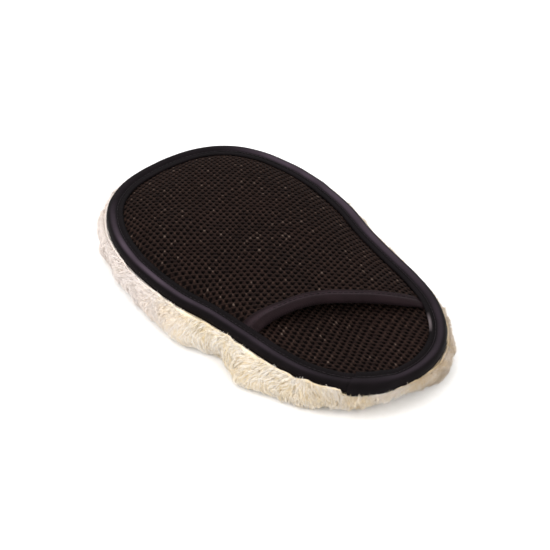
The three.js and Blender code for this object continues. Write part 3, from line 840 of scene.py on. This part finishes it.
def wisps(name, tufts, per_tuft, finishes, seed, width, breadth, length):
    """Tapering wisps of fibre in combed tufts. Each comes up out of the pile, lies along the skin the way
    its tuft was combed, and draws in towards the tuft's tip."""
    rng = np.random.default_rng(seed)
    tuft = np.repeat(np.arange(len(tufts)), per_tuft)
    count = len(tuft)
    place = np.column_stack([tufts[:, 0], tufts[:, 1] * SKIN_LENGTH])
    comb = waves(place, SEED + 33, 44, 2) * 0.85 + rng.normal(0, 0.16, len(tufts))
    comb = comb[tuft] + rng.normal(0, 0.08, count)
    way = np.stack([np.sin(comb), np.cos(comb)], -1)
    across = np.stack([np.cos(comb), -np.sin(comb)], -1)
    strand = tuft * STRANDS + rng.integers(0, STRANDS, count)
    strand_aside = rng.normal(0, breadth, len(tufts) * STRANDS)
    strand_lift = rng.exponential(0.18, len(tufts) * STRANDS)
    aside = strand_aside[strand] + rng.normal(0, 0.16, count)
    back = rng.uniform(-0.75, 0.0, count) * length
    reach = length * rng.uniform(0.6, 1.05, count)
    lift = rng.uniform(0.1, 0.55, len(tufts))[tuft] + strand_lift[strand] + rng.exponential(0.15, count)
    near_edge = tufts[tuft, 1] < 0.2
    root_depth = rng.uniform(1.2, 2.2, count) * np.where(near_edge, 0.3, 1.0)
    curl = rng.normal(0, 0.18, count)
    ruffle = rng.exponential(0.9, len(tufts) * STRANDS)[strand] + rng.exponential(0.3, count)
    ruffle = np.minimum(ruffle, RUFFLE_MOST)
    before_lap = LAP_JOINT * PERIMETER - RUFFLE_STOP - place[tuft, 0]
    thumb_side = np.clip(before_lap / 12, 0, 1) * np.clip(place[tuft, 0] / 30, 0, 1)
    spine = np.empty((count, len(SPINE), 3))
    face_at = np.empty((count, len(SPINE), 3))
    for k, t in enumerate(SPINE):
        over = place[tuft] + way * (back + reach * t)[:, None] \
            + across * (aside * (1 - 0.45 * t * t) + curl * math.sin(2.6 * t))[:, None]
        level = np.clip(over[:, 1] / SKIN_LENGTH, 0.0, 1.0)
        face = skin_face(over[:, 0], level)
        mound = lift * (1 - (aside / (breadth * 2.6))**2).clip(0.1, 1)
        # Against the tape's edge, on the thumb's side, the tips are pushed up and ruffled.
        mound = mound + ruffle * thumb_side * np.interp(level, RUFFLE_BAND, (0, 1, 1, 0))
        rise = -root_depth * (1 - t)**2.2 + mound * math.sin(min(1.0, t * 1.25) * math.pi / 2)
        spine[:, k] = pile_skin(over[:, 0], level) + face * (lumps(over[:, 0], level) + rise)[:, None]
        face_at[:, k] = face
    loose = (rng.random(count) < LOOSE)[:, None]
    spine[:, 3] += loose * (rng.normal(0, 0.5, (count, 3)) + face_at[:, 3] * 0.5)
    spine[..., 2] = np.maximum(spine[..., 2], 0.3)
    along = spine[:, 3] - spine[:, 0]
    sideways = np.cross(along, face_at[:, 1])
    sideways /= np.linalg.norm(sideways, axis=1, keepdims=True)
    proud = np.cross(sideways, along)
    proud /= np.linalg.norm(proud, axis=1, keepdims=True)
    girth = width * rng.uniform(0.7, 1.3, (count, 1)) * np.array([0.8, 1.0, 0.75])
    turn = np.array([0.0, 2.1, 4.2]) + rng.uniform(0, 6.28, (count, 1))
    ring = sideways[:, None] * np.cos(turn)[..., None] + proud[:, None] * (np.sin(turn) * 0.6)[..., None]
    body = spine[:, :3, None] + ring[:, None] * girth[..., None, None]
    points = np.concatenate([body.reshape(count, 9, 3), spine[:, 3:4]], 1)
    points[..., 2] = np.maximum(points[..., 2], 0.05)
    # Each wisp: two rows of sides, a pointed tip and a closed root.
    sides = []
    for row in (0, 3):
        for k in range(3):
            a, b = row + k, row + (k + 1) % 3
            sides += [(a, b, b + 3), (a, b + 3, a + 3)]
    tris = np.array(sides + [(6, 7, 9), (7, 8, 9), (8, 6, 9), (2, 1, 0)])
    faces = (tris[None] + (np.arange(count) * 10)[:, None, None]).reshape(-1, 3)
    tint = rng.choice(len(finishes), len(strand_lift), p=TONE_SHARES)[strand]
    return make_piece(name, points.reshape(-1, 3), faces, finishes, slots=np.repeat(tint, len(tris)))


def comb_wool(finishes):
    """The tufts, piece by piece round the mitt, then underneath."""
    quarter = PERIMETER / 4
    pieces = []
    for k, name in enumerate(("pile_left_front", "pile_left_cuff", "pile_right_cuff", "pile_right_front")):
        rng = np.random.default_rng(SEED + 40 + k)
        ends = (k * quarter, (k + 1) * quarter)
        tufts = np.concatenate([tuft_places(*ends, 0.08, 0.15, 2.2, rng),
                                tuft_places(*ends, 0.15, SIDE_LEVEL, 3.1, rng)])
        each = PILE_WISPS // len(tufts)
        pieces.append(wisps(name, tufts, each, finishes, SEED + 50 + k, 0.12, 1.3, 7.5))
    for k, name in enumerate(("pile_under_left", "pile_under_right")):
        rng = np.random.default_rng(SEED + 60 + k)
        tufts = tuft_places(k * 2 * quarter, (k + 1) * 2 * quarter, SIDE_LEVEL, 1.0, 4.4, rng)
        each = UNDER_WISPS // len(tufts)
        pieces.append(wisps(name, tufts, each, finishes, SEED + 70 + k, 0.26, 1.7, 9.0))
    return pieces


# ------------------------------------------------------------------ studio
def camera_and_lights():
    azimuth, elevation, distance = math.radians(-39.4), math.radians(41.0), 0.874
    back = Vector((math.sin(azimuth) * math.cos(elevation), -math.cos(azimuth) * math.cos(elevation),
                   math.sin(elevation)))
    aim = Vector((-9.3, -9.8, 22.8)) * MM
    data = bpy.data.cameras.new("studio_camera")
    data.lens, data.sensor_width = 104.7, 36.0
    data.clip_start, data.clip_end = 0.01, 20
    camera = bpy.data.objects.new("studio_camera", data)
    camera.location = aim + back * distance
    camera.rotation_euler = back.to_track_quat("Z", "Y").to_euler()
    bpy.context.scene.collection.objects.link(camera)
    bpy.context.scene.camera = camera

    for name, place, size, power, tint in (
        ("softbox_left", (-0.95, 0.1, 0.95), 1.3, 9.0, "fffaf6"),
        ("softbox_front", (0.3, -1.2, 0.8), 1.2, 7.0, "ffffff"),
        ("softbox_back", (0.55, 0.85, 0.9), 1.0, 3.0, "f6f8ff"),
        ("softbox_low_right", (1.1, -0.75, 0.3), 0.9, 2.0, "ffffff"),
        ("overhead", (-0.1, 0.2, 1.5), 1.6, 7.0, "ffffff"),
    ):
        lamp = bpy.data.lights.new(name, "AREA")
        lamp.shape, lamp.size, lamp.energy = "DISK", size, power
        lamp.color = linear(tint)[:3]
        light = bpy.data.objects.new(name, lamp)
        light.location = place
        light.rotation_euler = Vector(place).to_track_quat("Z", "Y").to_euler()
        bpy.context.scene.collection.objects.link(light)

    world = bpy.data.worlds.new("studio_air")
    bpy.context.scene.world = world
    world.use_nodes = True
    sky = world.node_tree.nodes["Background"].inputs
    sky["Color"].default_value = (1, 1, 1, 1)
    sky["Strength"].default_value = 0.95
    bpy.context.scene.view_settings.view_transform = "Standard"

    points = [(-3, -3, -0.0002), (3, -3, -0.0002), (3, 3, -0.0002), (-3, 3, -0.0002)]
    mesh = bpy.data.meshes.new("studio_floor")
    mesh.from_pydata(points, [], [(0, 1, 2, 3)])
    mesh.materials.append(studio_floor_finish())
    floor = bpy.data.objects.new("studio_floor", mesh)
    bpy.context.scene.collection.objects.link(floor)


camera_and_lights()

knit = spacer_mesh_finish("spacer_mesh_knit")
knit_back = spacer_mesh_finish("spacer_mesh_back")
edge_cloth = binding_tape_finish("binding_tape_twill", "080607", "0e0b0c", "181316", "493e48", (8.0, 3.6))
hem_cloth = binding_tape_finish("mouth_tape_twill", "110b0c", "1b1315", "261b1e", "3d3136", (4.5, 3.2))
thread = thread_finish()
wool_tones = [
    wool_finish("wool_cream", "edd9b4", "f5e8cf", "f8efe2"),
    wool_finish("wool_white", "f1e4cd", "f7eee0", "faf5ee"),
    wool_finish("wool_straw", "e9d1a4", "f2e1bb", "f5e9d0"),
]
wool_ground = wool_finish("wool_deep", "dfca9f", "ecdab8", "f1e3ca")

palm, palm_area = mesh_panel("palm_panel", PALM_KNIT, in_palm, palm_height, palm_thick, knit, knit_back)
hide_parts("palm_mesh")

cover, cover_area = mesh_panel("cover_panel", COVER_KNIT, in_cover, cover_height, cover_thick, knit,
                               knit_back)
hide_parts("hand_cover")

tape = edge_tape(edge_cloth)
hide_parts("edge_binding")
hem = hem_tape(hem_cloth)
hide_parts("hem_binding")

for node, builder, top in (
    ("edge_needle_thread", edge_stitches, True), ("edge_bobbin_thread", edge_stitches, False),
    ("hem_needle_thread", hem_stitches, True), ("hem_bobbin_thread", hem_stitches, False),
):
    row = builder(node.replace("thread", "stitches"), thread, top)
    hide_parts(node)

mass = pile_body(wool_ground)
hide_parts("wool_pile")
for tuft in comb_wool(wool_tones):
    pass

for node, finish in (("pile_backing", knit_backing_finish()), ("foam_pad", foam_finish())):
    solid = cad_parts[node]
    solid.data.materials.clear()
    solid.data.materials.append(finish)
